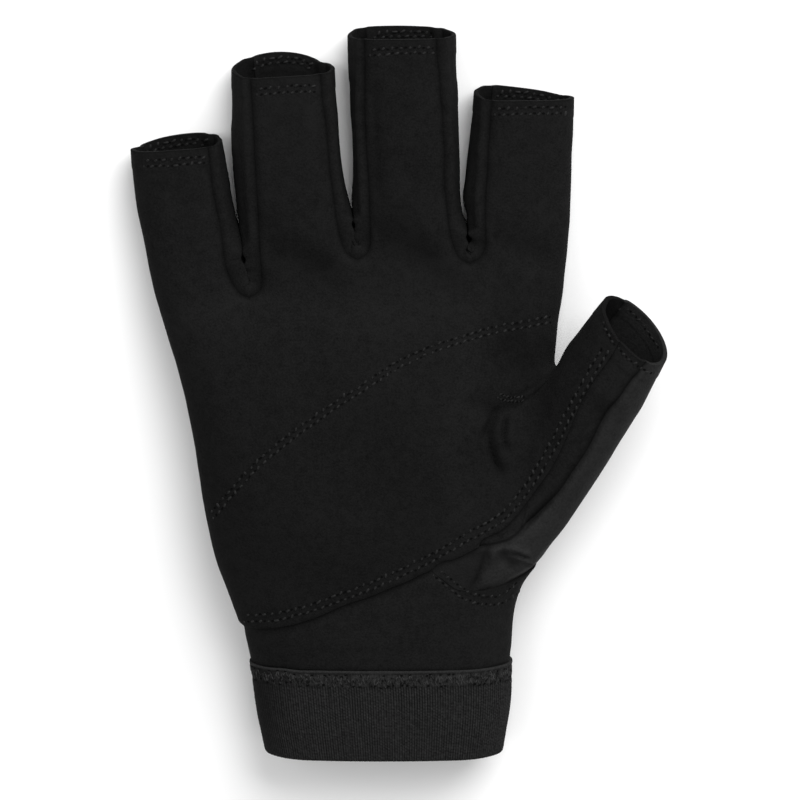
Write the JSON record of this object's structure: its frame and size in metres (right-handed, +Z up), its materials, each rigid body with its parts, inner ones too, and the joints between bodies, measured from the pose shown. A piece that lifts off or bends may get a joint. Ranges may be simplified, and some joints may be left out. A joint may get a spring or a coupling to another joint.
{
  "type": "watersports glove",
  "caption": "Short-finger watersports glove for the right hand, lying palm up, with a suede palm, jersey back and an elastic wrist cuff.",
  "frame": {"origin": "under the middle of the glove's box, on the surface that it lies on", "axes": "+Y towards the fingertips, +X towards the thumb, +Z up out of the palm"},
  "size_m": [0.1378, 0.1913, 0.0302],
  "materials": {
    "palm_suede": "matt napped synthetic suede",
    "finger_suede": "matt thin synthetic suede",
    "jersey": "matt knit jersey on foam",
    "light_jersey": "matt stretch jersey, a little worn",
    "cuff_webbing": "ribbed woven elastic",
    "thread": "twisted polyester thread with a slight sheen"
  },
  "bodies": {
    "root": {"palm_panel": "palm_suede", "fourchette_little_ring": "finger_suede", "fourchette_ring_middle": "finger_suede", "fourchette_middle_index": "finger_suede", "thumb_strip": "finger_suede", "wrist_panel": "jersey", "back_panel": "jersey", "thumb_back": "light_jersey", "cuff_band": "cuff_webbing"}
  },
  "joints": []
}
